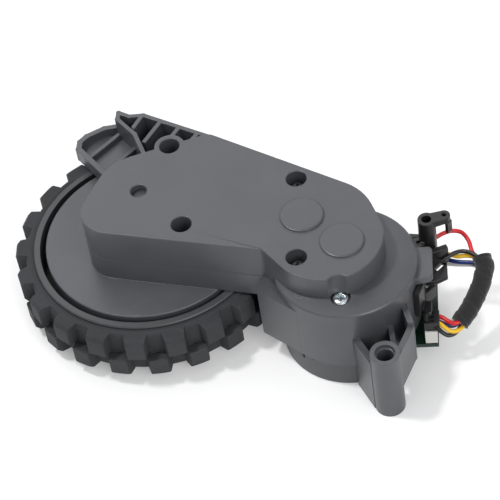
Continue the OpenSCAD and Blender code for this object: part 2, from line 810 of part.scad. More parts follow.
// A stretch of wall about the motor axis, between two radii, two angles and two heights
module sector(r0, r1, from, to, z0, z1) {
  translate([motor_x, 0, z0]) rotate(from) rotate_extrude(angle = to - from)
    translate([r0, 0]) square([r1 - r0, z1 - z0]);
}

// The wall that follows the housing, cut away over the plug and below the boss
module bracket_wall() {
  difference() {
    sector(bracket_in, bracket_in + bracket_t, -3, 60, bracket_bottom, bracket_top);
    sector(bracket_in - 1, bracket_in + bracket_t + 1, -9, 11, 0, plug_top + 0.6);
    sector(bracket_in - 1, bracket_in + bracket_t + 1, 54, 66, 0, 17.5);
  }
}

module wire_bracket() {
  color(near_black) difference() {
    union() {
      bracket_wall();
      // Boss and lobe, with the struts that carry them
      rod(boss_at, boss_r, 16, 28);
      translate([0, 0, 26]) linear_extrude(2) polygon(concat(
        [for (a = [-60 : 15 : -15]) boss_at + at_angle(boss_r, a)],
        [for (a = [-60 : 15 : 120]) lobe_at + at_angle(lobe_r, a)],
        [for (a = [85 : 15 : 160]) boss_at + at_angle(boss_r, a)]
      ));
      wall(lobe_at + [0.9, -1.2], lobe_at + [1.4, 0.6], 0.9, 22.6, 26.2);
      wall(beside(1, 58.5), boss_at, 1.2, 17.5, bracket_top);
      wall(beside(0.9, 52), boss_at, 1.2, 16.5, bracket_top);
      wall(beside(1.2, 43.6), boss_at, 1.3, 16.5, bracket_top);
      // Prong and clip that lead the wires out
      wall(beside(0.9, 38.4), beside(8.2, 39.7), 1.5, 15.2, 20.6);
      translate([0, 0, 17]) linear_extrude(1.4) polygon(clip_corners);
      wall(beside(3.4, 17.8), beside(1.2, 9.4), 1.2, 13.4, 17.4);
      // Hook that holds the plug down
      translate([0, 0, 13.6]) linear_extrude(1.4) polygon(hook_corners);
      wall(beside(3.1, 0), beside(2.9, -4.2), 1, plug_top + 0.3, 15);
    }
    rod(boss_at, 1.15, 10, 30);
    rod(lobe_at, 0.55, 10, 30);
    translate(concat(beside(5.2, 30.7), 17)) rotate(-20) cube([1.1, 3, 6], center = true);
  }
}

// Connector on the board's tab: a header with a plug on it
header_w = 3;
header_d = 2.8;
header_h = 4.2;
header_x = tab_out - 3.2;
header_y = -tab_w / 2 + 0.2;
header_top = board_z + board_t + header_h;
plug_w = 3.8;
plug_d = 4.2;
plug_h = 2.9;
plug_top = header_top + plug_h;
pitch = 1.3;
module connector_header() {
  color("white") difference() {
    on_board(header_x, header_y, board_t) cube([header_w, header_d, header_h]);
    on_board(header_x + 0.5, header_y + 0.5, board_t + 0.6) cube([header_w - 1, header_d - 1, header_h]);
  }
}

module connector_plug() {
  color("black") difference() {
    on_board(header_x - 0.1, header_y + 0.5, header_top - board_z) cube([plug_w, plug_d, plug_h]);
    for (k = [0 : 2])
      on_board(header_x + 0.6, header_y + 1 + pitch * k, header_top - board_z + plug_h - 0.5)
        cube([1.6, 0.6, 1]);
  }
}

// Wires: each runs from the bracket through the taped bundle to the plug

red_route = [[70.8, 18.8, 20], [72.1, 20.4, 20.2], [73.8, 21.8, 20.2], [76.1, 22.5, 19.7],
  [78.4, 21.1, 19], [80.2, 18.6, 18.4], [82.3, 16.7, 17.8], [83.9, 15.1, 17.2], [84.5, 11.7, 15.6],
  [84.3, 8.4, 14], [83.7, 5.2, 12.6], [83, 2.6, 11.6], [81.8, 1.1, 11.4], [80.1, 1.1, 11.5],
  [78.3, 1.7, 11.6], [76.3, 1.6, 11.6]];
black_route = [[69.4, 13, 16.4], [71.4, 13.4, 16.6], [73.4, 14.2, 17], [74.8, 15.5, 17.6], [76.4, 17.2, 18],
  [78.3, 18.1, 18.2], [80.8, 17.8, 18.4], [83, 16.7, 17.9], [84.6, 15.2, 17], [85.1, 12.1, 15.4],
  [84.9, 8.9, 13.6], [84.1, 5.7, 11.6], [83.1, 3.1, 9.8], [82.2, 0.6, 8.7], [80.8, -0.9, 8.7],
  [79.3, -1.2, 9.6], [77.7, -0.8, 10.4], [76.2, -0.6, 10.6]];
yellow_route = [[67.4, 14.4, 14.6], [69.6, 16.4, 15.4], [72, 17.6, 16.1], [74.2, 17.5, 16.4],
  [76.7, 17.3, 16.6], [78.8, 18, 16.8], [81.1, 18.1, 17], [83.4, 17.5, 16.6], [85, 16, 15.8],
  [85.5, 13.1, 14], [85.1, 9.5, 12.4], [84.4, 6.2, 10.8], [83.6, 2.8, 9.7], [82.6, 0.6, 9.5],
  [81.2, -0.4, 9.9], [79.7, -0.4, 10.7], [78, 0.1, 11.2], [76.4, 0.3, 11.3]];
blue_route = [[67.4, 14.2, 12.8], [69.4, 16.2, 13.6], [71.6, 17.1, 14.3], [73.9, 17, 14.8],
  [76.3, 16.7, 15.2], [78.6, 16.8, 15.6], [80.8, 17, 16], [82.6, 16.6, 16], [83.8, 15.4, 15.3],
  [84.3, 12.9, 13.8], [83.9, 9.6, 12.1], [83.3, 6.5, 10.7], [82.4, 3.6, 9.7], [81.2, 1.8, 9.5],
  [79.6, 1.1, 9.8], [77.8, 1.2, 10.2], [76.2, 1.2, 10.3]];
white_route = [[67.4, 14.2, 11.2], [69.2, 16, 11.9], [71.3, 16.9, 12.5], [73.6, 17.1, 13],
  [76.1, 17.1, 13.6], [78.4, 17.2, 14.2], [80.8, 17.3, 14.8], [82.9, 16.7, 15], [84.2, 15.3, 14.5],
  [84.7, 13, 13.4], [84.3, 10.4, 12.1], [83.7, 7.4, 10.9], [82.6, 4.5, 9.9], [81.4, 3.1, 9.4],
  [79.6, 2.6, 9.7], [77.6, 2.8, 10.2], [76, 2.7, 10.4]];
bundle_route = [[82.9, 18.3, 17.6], [84.3, 16.1, 16.6], [84.7, 12.6, 15], [84.4, 9.3, 13.4],
  [83.7, 5.7, 11.8], [82.6, 2.1, 10.6]];

function cross_unit(a, b) = unit(cross(a, b));
function direction(route, i) =
  unit(route[min(i + 1, len(route) - 1)] - route[max(i - 1, 0)]);
function ring_of(route, i, r, sides) =
  let (
    d = direction(route, i),
    u = cross_unit(d, [0.05, 0.1, 1]),
    v = cross(d, u)
  )
  [for (k = [0 : sides - 1]) route[i] + r * cos(360 * k / sides) * u + r * sin(360 * k / sides) * v];

module swept(route, d, sides) {
  n = len(route);
  rings = [for (i = [0 : n - 1]) ring_of(route, i, d / 2, sides)];
  polyhedron(
    points = [for (r = rings) each r],
    faces = concat(
      [[for (k = [0 : sides - 1]) k]],
      [[for (k = [sides - 1 : -1 : 0]) (n - 1) * sides + k]],
      [for (i = [0 : n - 2], k = [0 : sides - 1])
        let (m = (k + 1) % sides)
        [i * sides + k, (i + 1) * sides + k, (i + 1) * sides + m, i * sides + m]]
    )
  );
}

module red_wire() { color("red") swept(red_route, wire_d, 8); }
module black_wire() { color("black") swept(black_route, wire_d, 8); }
module yellow_wire() { color("gold") swept(yellow_route, wire_d, 8); }
module blue_wire() { color("navy") swept(blue_route, wire_d, 8); }
module white_wire() { color("white") swept(white_route, wire_d, 8); }
module tape_sleeve() { color(near_black) swept(bundle_route, bundle_d, 12); }

gear_case_cover();
gear_case_body();
motor_cap();
wheel_rim();
tyre();
wheel_axle();
upper_axle_bush();
lower_axle_bush();
output_gear();
first_gear();
second_gear();
third_gear();
fourth_gear();
gear_pins();
motor_can();
motor_magnets();
motor_end_bell();
motor_brushes();
motor_armature();
commutator();
motor_shaft();
motor_pinion();
encoder_magnet();
cover_screws();
motor_screws();
case_screw();
wheel_screw();
wire_bracket();
circuit_board();
connector_header();
connector_plug();
red_wire();
black_wire();
yellow_wire();
blue_wire();
white_wire();
tape_sleeve();
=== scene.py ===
# %% [markdown]
# # A wheel module of a floor cleaning robot
# The module lies on its side: a lugged wheel under a geared arm, a motor housing with a hinge
# barrel, and a short wire harness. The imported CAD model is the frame, in metres. This script gives
# it softened edges, a wire harness, finishes, a floor, light and a camera.

# %% The frame
import math

import bmesh
import bpy
import numpy as np
from mathutils import Matrix


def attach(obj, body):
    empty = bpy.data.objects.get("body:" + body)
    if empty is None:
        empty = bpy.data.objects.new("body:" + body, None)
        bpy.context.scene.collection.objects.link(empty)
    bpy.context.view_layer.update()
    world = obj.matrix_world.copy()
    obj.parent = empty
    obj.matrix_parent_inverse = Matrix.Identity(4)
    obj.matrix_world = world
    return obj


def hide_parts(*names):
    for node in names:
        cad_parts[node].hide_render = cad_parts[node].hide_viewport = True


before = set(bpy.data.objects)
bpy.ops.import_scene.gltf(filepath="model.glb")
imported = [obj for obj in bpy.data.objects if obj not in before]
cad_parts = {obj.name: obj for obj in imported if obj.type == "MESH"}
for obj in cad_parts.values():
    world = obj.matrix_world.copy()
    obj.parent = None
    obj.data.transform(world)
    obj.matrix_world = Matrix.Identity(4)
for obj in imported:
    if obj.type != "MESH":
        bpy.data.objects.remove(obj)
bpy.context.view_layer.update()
MM = 0.001

# %% [markdown]
# ## Camera
# The picture was taken from a short distance above the module with a long lens, and the camera was
# rolled a little. The angles below come from the ellipses of the rim, the disc and the motor cap.

# %% Camera
AZIMUTH = math.radians(31.04)
ELEVATION = math.radians(48.36)
ROLL = math.radians(-10.03)
TARGET = np.array([28.29, 0.89, 20.0]) * MM
DISTANCE = 549.5 * MM
LENS, SENSOR_WIDTH = 159.3, 36.0
CLIP_START, CLIP_END = 0.01, 10.0


def camera_axes():
    """Right, up and back of a camera at this azimuth and elevation, with the roll about back."""
    back = np.array([
        math.sin(AZIMUTH) * math.cos(ELEVATION),
        -math.cos(AZIMUTH) * math.cos(ELEVATION),
        math.sin(ELEVATION),
    ])
    right = np.array([math.cos(AZIMUTH), math.sin(AZIMUTH), 0.0])
    up = np.cross(back, right)
    c, s = math.cos(ROLL), math.sin(ROLL)
    return right * c + up * s, up * c - right * s, back


def make_camera():
    """A camera whose columns are right, up and back, at the target plus back times the distance."""
    right, up, back = camera_axes()
    data = bpy.data.cameras.new("camera")
    data.lens, data.sensor_width = LENS, SENSOR_WIDTH
    data.clip_start, data.clip_end = CLIP_START, CLIP_END
    camera = bpy.data.objects.new("camera", data)
    bpy.context.scene.collection.objects.link(camera)
    place = np.eye(4)
    place[:3, 0], place[:3, 1], place[:3, 2] = right, up, back
    place[:3, 3] = TARGET + back * DISTANCE
    camera.matrix_world = Matrix(place.tolist())
    bpy.context.scene.camera = camera
    return camera


camera = make_camera()
print("camera at", [round(x, 4) for x in camera.matrix_world.translation])

# %% [markdown]
# ## Meshes from arrays
# Every new surface is a grid of points worked out at once. A grid that closes on itself in one
# direction is a tube, and a tube with its ends closed is a wire.

# %% Grids
def new_piece(name, points, faces, smooth=True):
    """A mesh object at the origin from an array of points and an array of corner numbers."""
    mesh = bpy.data.meshes.new(name)
    mesh.from_pydata(points.reshape(-1, 3).tolist(), [], [face.tolist() for face in faces])
    mesh.update()
    mesh.polygons.foreach_set("use_smooth", np.full(len(mesh.polygons), smooth))
    piece = bpy.data.objects.new(name, mesh)
    bpy.context.scene.collection.objects.link(piece)
    return piece


def tube_faces(rings, sides):
    """Quads between neighbouring rings, and one face over each end. The corners of quad (i, k) are
    the points (i, k), (i, k+1), (i+1, k+1) and (i+1, k), with k counted round."""
    i, k = np.meshgrid(np.arange(rings - 1), np.arange(sides), indexing="ij")
    j = (k + 1) % sides
    quads = np.stack([i * sides + k, i * sides + j, (i + 1) * sides + j, (i + 1) * sides + k], -1)
    first = np.arange(sides)[::-1]
    last = (rings - 1) * sides + np.arange(sides)
    return list(quads.reshape(-1, 4)) + [first, last]


print("a tube of 3 rings with 4 sides has", len(tube_faces(3, 4)), "faces")

# %% [markdown]
# ## Paths
# A wire is known by the points that it passes. A curve through them gives its middle line, and a
# circle carried along that line gives its skin. Blender's own curve with a bevel would do this too,
# but with arrays the length can be measured from the same points that make the mesh.

# %% Paths and tubes
# A direction that no wire of this harness runs along, so a circle's first radius is always defined
ASIDE = [0.05, 0.1, 1.0]


def smooth_path(points, steps):
    """A curve through the points: on each span, the cubic whose slope at a point is half the way
    between its neighbours."""
    p = np.array(points, float)
    p = np.vstack([2 * p[0] - p[1], p, 2 * p[-1] - p[-2]])
    t = np.linspace(0, 1, steps, endpoint=False)[:, None]
    a, b, c, d = (p[n:len(p) - 3 + n, None, :] for n in range(4))
    spans = 0.5 * (2 * b + (c - a) * t + (2 * a - 5 * b + 4 * c - d) * t**2
                   + (3 * b - a - 3 * c + d) * t**3)
    return np.vstack([spans.reshape(-1, 3), p[-2]])


def path_length(path):
    """The sum of the lengths of the path's straight steps."""
    return float(np.linalg.norm(np.diff(path, axis=0), axis=1).sum())


def swept_rings(path, radius, sides):
    """Circles square to the path: point (i, k) is path i plus radius (i, k) times the cosine and
    sine of the angle of k along two directions square to the path's slope."""
    slope = np.gradient(path, axis=0)
    slope /= np.linalg.norm(slope, axis=1)[:, None]
    u = np.cross(slope, ASIDE)
    u /= np.linalg.norm(u, axis=1)[:, None]
    v = np.cross(slope, u)
    angle = np.arange(sides) / sides * 2 * np.pi
    return path[:, None, :] + radius[..., None] * (
        np.cos(angle)[None, :, None] * u[:, None, :] + np.sin(angle)[None, :, None] * v[:, None, :])


bend = smooth_path([[0, 0, 0], [1, 0, 0], [1, 1, 0]], 10)
print("a bend through two steps of 1 is", round(path_length(bend), 2), "long")

# %% [markdown]
# ## Wire harness
# Five thin wires leave the bracket, run together through a sleeve of fleece tape and end in the
# plug on the board. A wire could be a Bezier curve with a bevel. Here each is a grid swept along
# the route that the CAD solid has, so the routes are the same points in millimetres.

# %% Routes of the wires
WIRE_D = 1.1
WIRE_SIDES = 10
STEPS = 10
ROUTES = {
    "red_wire": [
        [70.8, 18.8, 20], [72.1, 20.4, 20.2], [73.8, 21.8, 20.2], [76.1, 22.5, 19.7],
        [78.4, 21.1, 19], [80.2, 18.6, 18.4], [82.3, 16.7, 17.8], [83.9, 15.1, 17.2],
        [84.5, 11.7, 15.6], [84.3, 8.4, 14], [83.7, 5.2, 12.6], [83, 2.6, 11.6], [81.8, 1.1, 11.4],
        [80.1, 1.1, 11.5], [78.3, 1.7, 11.6], [76.3, 1.6, 11.6]],
    "black_wire": [
        [69.4, 13, 16.4], [71.4, 13.4, 16.6], [73.4, 14.2, 17], [74.8, 15.5, 17.6],
        [76.4, 17.2, 18], [78.3, 18.1, 18.2], [80.8, 17.8, 18.4], [83, 16.7, 17.9],
        [84.6, 15.2, 17], [85.1, 12.1, 15.4], [84.9, 8.9, 13.6], [84.1, 5.7, 11.6],
        [83.1, 3.1, 9.8], [82.2, 0.6, 8.7], [80.8, -0.9, 8.7], [79.3, -1.2, 9.6],
        [77.7, -0.8, 10.4], [76.2, -0.6, 10.6]],
    "yellow_wire": [
        [67.4, 14.4, 14.6], [69.6, 16.4, 15.4], [72, 17.6, 16.1], [74.2, 17.5, 16.4],
        [76.7, 17.3, 16.6], [78.8, 18, 16.8], [81.1, 18.1, 17], [83.4, 17.5, 16.6], [85, 16, 15.8],
        [85.5, 13.1, 14], [85.1, 9.5, 12.4], [84.4, 6.2, 10.8], [83.6, 2.8, 9.7], [82.6, 0.6, 9.5],
        [81.2, -0.4, 9.9], [79.7, -0.4, 10.7], [78, 0.1, 11.2], [76.4, 0.3, 11.3]],
    "blue_wire": [
        [67.4, 14.2, 12.8], [69.4, 16.2, 13.6], [71.6, 17.1, 14.3], [73.9, 17, 14.8],
        [76.3, 16.7, 15.2], [78.6, 16.8, 15.6], [80.8, 17, 16], [82.6, 16.6, 16],
        [83.8, 15.4, 15.3], [84.3, 12.9, 13.8], [83.9, 9.6, 12.1], [83.3, 6.5, 10.7],
        [82.4, 3.6, 9.7], [81.2, 1.8, 9.5], [79.6, 1.1, 9.8], [77.8, 1.2, 10.2], [76.2, 1.2, 10.3]],
    "white_wire": [
        [67.4, 14.2, 11.2], [69.2, 16, 11.9], [71.3, 16.9, 12.5], [73.6, 17.1, 13],
        [76.1, 17.1, 13.6], [78.4, 17.2, 14.2], [80.8, 17.3, 14.8], [82.9, 16.7, 15],
        [84.2, 15.3, 14.5], [84.7, 13, 13.4], [84.3, 10.4, 12.1], [83.7, 7.4, 10.9],
        [82.6, 4.5, 9.9], [81.4, 3.1, 9.4], [79.6, 2.6, 9.7], [77.6, 2.8, 10.2], [76, 2.7, 10.4]],
}
wire_paths = {name: smooth_path(route, STEPS) * MM for name, route in ROUTES.items()}
print("points per wire:", {name: len(path) for name, path in wire_paths.items()})

# %% [markdown]
# A wire goes from the slot it leaves to the plug, so nothing of it hangs free. The visible mesh
# stands for the CAD wire of the same name.

# %% Wires
wires = {}
for name, path in wire_paths.items():
    radius = np.full((len(path), WIRE_SIDES), WIRE_D / 2 * MM)
    rings = swept_rings(path, radius, WIRE_SIDES)
    wires[name] = new_piece(name + "_insulation", rings, tube_faces(len(path), WIRE_SIDES))
    print(name, "is", round(path_length(path) * 1000, 1), "mm long")
    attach(wires[name], "arm")
    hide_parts(name)

# %% [markdown]
# ## Tape sleeve
# Fleece tape is wound round the bundle. Each turn laps over the last one, and the wires under it
# press uneven folds. A plain cylinder with a bump would look drawn on, so the laps and folds are in
# the radius of the tube itself.

# %% Tape sleeve
SLEEVE_ROUTE = [
    [82.9, 18.3, 17.6], [84.3, 16.1, 16.6], [84.7, 12.6, 15], [84.4, 9.3, 13.4], [83.7, 5.7, 11.8],
    [82.6, 2.1, 10.6]]
SLEEVE_D = 5.0
SLEEVE_SIDES = 28
LAP_LENGTH = 4.0
LAP_CREST, LAP_DROP = 0.97, 0.08
FOLD_DEPTH = 0.01
FOLD_WAVES = ((2.3, 2), (5.1, -1), (3.4, 3))


def sleeve_radius(path):
    """The tape laps over itself once every 4 mm. Along each lap the radius falls by 8 percent, by
    the fraction of the lap that the length and the angle round the path have used up. Three waves
    of other lengths, each turned round the path, add folds of 1 percent each."""
    along = np.concatenate([[0], np.cumsum(np.linalg.norm(np.diff(path, axis=0), axis=1))])[:, None]
    turn = (np.arange(SLEEVE_SIDES) / SLEEVE_SIDES)[None, :]
    lap = (along / (LAP_LENGTH * MM) + turn) % 1.0
    folds = sum(np.sin(2 * np.pi * (along / (length * MM) + count * turn))
                for length, count in FOLD_WAVES)
    return SLEEVE_D / 2 * MM * (LAP_CREST - LAP_DROP * lap + FOLD_DEPTH * folds)


sleeve_path = smooth_path(SLEEVE_ROUTE, 4 * STEPS) * MM
sleeve_rings = swept_rings(sleeve_path, sleeve_radius(sleeve_path), SLEEVE_SIDES)
sleeve = new_piece("fleece_sleeve", sleeve_rings, tube_faces(len(sleeve_path), SLEEVE_SIDES))
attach(sleeve, "arm")
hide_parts("tape_sleeve")
print("sleeve is", round(path_length(sleeve_path) * 1000, 1), "mm long")

# %% [markdown]
# ## Softened edges
# Moulded plastic and rubber have no knife edges. The CAD solid is exact and sharp, so a copy of its
# mesh is merged, its flat faces are joined, and a Bevel modifier rounds what is left of the edges.
# The copy then stands for the CAD node. Building each form again by hand would lose the places of
# the holes.

# %% Which edges are rounded
# The two halves of the gear case are hollow and meet on a flat seam. Their large faces with holes
# in them come out wrong when they are joined and bevelled, so the edges there stay as they are
HOLLOW = {"gear_case_cover", "gear_case_body"}
SEAM_Z = 23.5 * MM
SEAM_REACH = 0.01 * MM
FACING_DOWN = -0.99
BREADTH_SHARE = 0.42


def left_alone(edge, hollow):
    """Whether both ends of the edge lie within 0.01 mm of the seam's plane, or the edge bounds the
    underside of a hollow moulding."""
    if all(abs(vertex.co.z - SEAM_Z) < SEAM_REACH for vertex in edge.verts):
        return True
    return hollow and any(face.normal.z < FACING_DOWN for face in edge.link_faces)


def edge_weights(work, width, corner, crease, hollow):
    """Marks the edges of a mesh. One that turns by more than corner degrees has the weight 1, or
    less where the narrower face beside it has no room: its breadth, area over the edge's length,
    times 0.42 over the width. One that is left alone has none. One that turns by more than crease
    degrees and has no weight stays sharp."""
    weight = work.edges.layers.float.new("bevel_weight_edge")
    work.faces.index_update()
    areas = [face.calc_area() for face in work.faces]
    for edge in work.edges:
        edge.smooth = True
        if len(edge.link_faces) != 2:
            continue
        turn = math.degrees(edge.calc_face_angle(0.0))
        if turn > corner and not left_alone(edge, hollow):
            breadth = min(areas[face.index] for face in edge.link_faces) / edge.calc_length()
            edge[weight] = min(1.0, BREADTH_SHARE * breadth / (width * MM))
        elif turn > crease:
            edge.smooth = False


print("edges at the seam, z =", round(SEAM_Z, 4), "m, are left alone")

# %% [markdown]
# The Bevel modifier reads the weights, so each edge gets the rounding that it has room for. A
# Weighted Normal modifier then keeps the flat faces flat beside the narrow bevels.

# %% Softened copies
MERGE_DISTANCE = 2e-6
FLAT_WITHIN = math.radians(1.0)
CREASE_BELOW_CORNER = 12
BEVEL_SEGMENTS = 2
FACE_PULL = 90


def softened(node, name, width, corner):
    """A merged copy of the node's mesh with its flat faces joined. Edges that turn by more than
    corner are bevelled by width, and those from 12 degrees less up to corner stay sharp. Its
    normals lean towards the larger faces, so flat faces look flat."""
    mesh = bpy.data.objects[node].data.copy()
    mesh.name = name
    hollow = node in HOLLOW
    work = bmesh.new()
    work.from_mesh(mesh)
    bmesh.ops.remove_doubles(work, verts=work.verts, dist=MERGE_DISTANCE)
    bmesh.ops.dissolve_limit(work, angle_limit=FLAT_WITHIN, verts=work.verts,
                             edges=[edge for edge in work.edges if not left_alone(edge, hollow)])
    edge_weights(work, width, corner, corner - CREASE_BELOW_CORNER, hollow)
    work.to_mesh(mesh)
    work.free()
    mesh.materials.clear()
    mesh.polygons.foreach_set("use_smooth", np.ones(len(mesh.polygons), bool))
    piece = bpy.data.objects.new(name, mesh)
    bpy.context.scene.collection.objects.link(piece)
    bevel = piece.modifiers.new("edge", "BEVEL")
    bevel.width, bevel.segments = width * MM, BEVEL_SEGMENTS
    bevel.limit_method, bevel.use_clamp_overlap = "WEIGHT", False
    normals = piece.modifiers.new("flat", "WEIGHTED_NORMAL")
    normals.keep_sharp, normals.weight = True, FACE_PULL
    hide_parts(node)
    print(name, "from", node, "with", len(mesh.polygons), "faces")
    return piece


# Each node with the copy's name, the bevel's width in mm, the corner in degrees, body and slot
SOFTENED = {
    "gear_case_cover": ("cover_shell", 0.30, 55, "arm", "case_cover_plastic"),
    "gear_case_body": ("arm_moulding", 0.13, 42, "arm", "arm_plastic"),
    "motor_cap": ("cap_moulding", 0.30, 42, "arm", "cap_plastic"),
    "wire_bracket": ("bracket_moulding", 0.18, 42, "arm", "bracket_plastic"),
    "tyre": ("tread", 0.25, 42, "wheel", "tyre_rubber"),
    "connector_header": ("header_moulding", 0.10, 42, "arm", "white_plastic"),
    "connector_plug": ("plug_moulding", 0.12, 42, "arm", "plug_plastic"),
    "cover_screws": ("cover_screw_set", 0.06, 42, "arm", "black_steel"),
    "case_screw": ("zinc_screw", 0.06, 42, "arm", "zinc_steel"),
}
soft = {}
for node, (name, width, corner, body, slot) in SOFTENED.items():
    soft[node] = softened(node, name, width, corner)
    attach(soft[node], body)

# %% [markdown]
# ## Finishes
# Each finish starts from the same two effects: a fine moulded grain, and lighter marks, which are
# scratches where parts have been handled and lighter edges that are partly wear and partly a painted
# highlight. Both are node groups, so every material sets its own scale and strength. The shader
# itself stays in the material.

# %% Helpers for nodes
FLOAT = "NodeSocketFloat"
NOISE_ROUGHNESS = 0.55


def group(name, label, default, outputs):
    """An empty shader node group with one float input, its default, and these float outputs."""
    tree = bpy.data.node_groups.new(name, "ShaderNodeTree")
    socket = tree.interface.new_socket(label, in_out="INPUT", socket_type=FLOAT)
    socket.default_value = default
    for output in outputs:
        tree.interface.new_socket(output, in_out="OUTPUT", socket_type=FLOAT)
    enter, leave = tree.nodes.new("NodeGroupInput"), tree.nodes.new("NodeGroupOutput")
    return tree, enter, leave


def feed(tree, value, socket):
    """The socket has this number, or is fed by this output."""
    if isinstance(value, (int, float)):
        socket.default_value = value
    else:
        tree.links.new(value, socket)


def math_node(tree, operation, a, b):
    """A Math node of this operation. A number or a socket feeds each input."""
    node = tree.nodes.new("ShaderNodeMath")
    node.operation = operation
    feed(tree, a, node.inputs[0])
    feed(tree, b, node.inputs[1])
    return node.outputs[0]


def noise(tree, place, scale, detail):
    """A noise of this scale and detail on a place. Its value lies near one half."""
    node = tree.nodes.new("ShaderNodeTexNoise")
    node.inputs["Detail"].default_value = detail
    node.inputs["Roughness"].default_value = NOISE_ROUGHNESS
    tree.links.new(place, node.inputs["Vector"])
    feed(tree, scale, node.inputs["Scale"])
    return node.outputs["Fac"]


def ramp_up(tree, value, low, high):
    """0 where the value is at most low, 1 where it is at least high, and even between them."""
    node = tree.nodes.new("ShaderNodeMapRange")
    node.inputs["From Min"].default_value = low
    node.inputs["From Max"].default_value = high
    tree.links.new(value, node.inputs["Value"])
    return node.outputs["Result"]


print("helpers: group, feed, math_node, noise, ramp_up")

# %% [markdown]
# The mould's texture is finer than a tenth of a millimetre, so it is a height for a bump and not
# geometry. A slow cloud goes with it, because no moulded face is quite even in colour and gloss.

# %% Grain
COARSE_SCALE, COARSE_SHARE = 0.25, 0.35
CLOUD_SCALE = 60.0


def make_grain():
    """Height is a noise of the scale plus 0.35 times one that is four times as coarse. Cloud is a
    slow noise."""
    tree, enter, leave = group("moulded_grain", "Scale", 2500.0, ("Height", "Cloud"))
    place = tree.nodes.new("ShaderNodeTexCoord").outputs["Object"]
    scale = enter.outputs["Scale"]
    fine = noise(tree, place, scale, 2)
    coarse = noise(tree, place, math_node(tree, "MULTIPLY", scale, COARSE_SCALE), 2)
    height = math_node(tree, "ADD", fine, math_node(tree, "MULTIPLY", coarse, COARSE_SHARE))
    tree.links.new(height, leave.inputs["Height"])
    tree.links.new(noise(tree, place, CLOUD_SCALE, 4), leave.inputs["Cloud"])
    return tree


grain_group = make_grain()
print("group:", grain_group.name)

# %% [markdown]
# Plastic and rubber get lighter where they are rubbed. The edges are lightened as well, partly as
# wear and partly as a painted highlight for the thin bright lines along edges. The Geometry node's
# Pointiness tells edges from faces. It is spread over whole triangles, so the amount stays small.

# %% Rubbed marks and painted edge highlight
# Pointiness range over which edges turn lighter: partly edge wear, partly a painted highlight
EDGE_WEAR_AND_HIGHLIGHT_RANGE = (0.53, 0.68)
SCRATCH_SCALE, SCRATCH_RANGE = 160.0, (0.66, 0.74)
SCRATCH_STRETCH, SCRATCH_TURN = (1.0, 7.0, 7.0), (0.0, 0.3, 0.6)
PATCH_SCALE, PATCH_RANGE = 45.0, (0.5, 0.65)


def make_wear_and_highlight():
    """The edge output is how far the surface bulges; the lighter edges it gives are partly wear and
    partly a painted highlight. Scratch is a thin band of a stretched noise, times a slow noise that
    leaves most of the surface clean. The amount multiplies both."""
    tree, enter, leave = group("wear_and_edge_highlight", "Amount", 0.3, ("EdgeWearAndHighlight", "Scratch"))
    amount = enter.outputs["Amount"]
    coords = tree.nodes.new("ShaderNodeTexCoord").outputs["Object"]
    bulge = tree.nodes.new("ShaderNodeNewGeometry").outputs["Pointiness"]
    # Lighter convex edges: partly wear, partly a painted highlight
    edge = ramp_up(tree, bulge, *EDGE_WEAR_AND_HIGHLIGHT_RANGE)
    tree.links.new(math_node(tree, "MULTIPLY", edge, amount), leave.inputs["EdgeWearAndHighlight"])
    stretch = tree.nodes.new("ShaderNodeMapping")
    stretch.inputs["Scale"].default_value = SCRATCH_STRETCH
    stretch.inputs["Rotation"].default_value = SCRATCH_TURN
    tree.links.new(coords, stretch.inputs["Vector"])
    streaks = noise(tree, stretch.outputs["Vector"], SCRATCH_SCALE, 3)
    band = ramp_up(tree, streaks, *SCRATCH_RANGE)
    patch = ramp_up(tree, noise(tree, coords, PATCH_SCALE, 2), *PATCH_RANGE)
    scratch = math_node(tree, "MULTIPLY", band, patch)
    tree.links.new(math_node(tree, "MULTIPLY", scratch, amount), leave.inputs["Scratch"])
    return tree


wear_and_highlight_group = make_wear_and_highlight()
print("group:", wear_and_highlight_group.name)

# %% [markdown]
# ## One recipe, many finishes
# Plastic, rubber, steel and wire insulation differ in colour, gloss, grain size, and in wear with
# its painted edge highlight, so one function builds them all from those values and keeps the
# finishes easy to compare.

# %% Recipe for a finish
CLOUD_LOW, CLOUD_HIGH = 0.3, 0.7
ROUGH_SPREAD = 0.2
RELIEF = 0.0002
# How much lighter the scratches and the edges are; on edges this is partly a painted highlight
WEAR_AND_HIGHLIGHT_GAIN, WEAR_AND_HIGHLIGHT_LIFT = 1.8, 0.02


def place_group(tree, node_group, label, value):
    """The node group in this material, with its one input set."""
    node = tree.nodes.new("ShaderNodeGroup")
    node.node_tree = node_group
    node.inputs[label].default_value = value
    return node.outputs


def tinted(colour, gain, lift=0.0):
    """The colour times the gain plus the lift, kept between 0 and 1, and opaque."""
    return (*np.clip(np.array(colour) * gain + lift, 0.0, 1.0), 1.0)


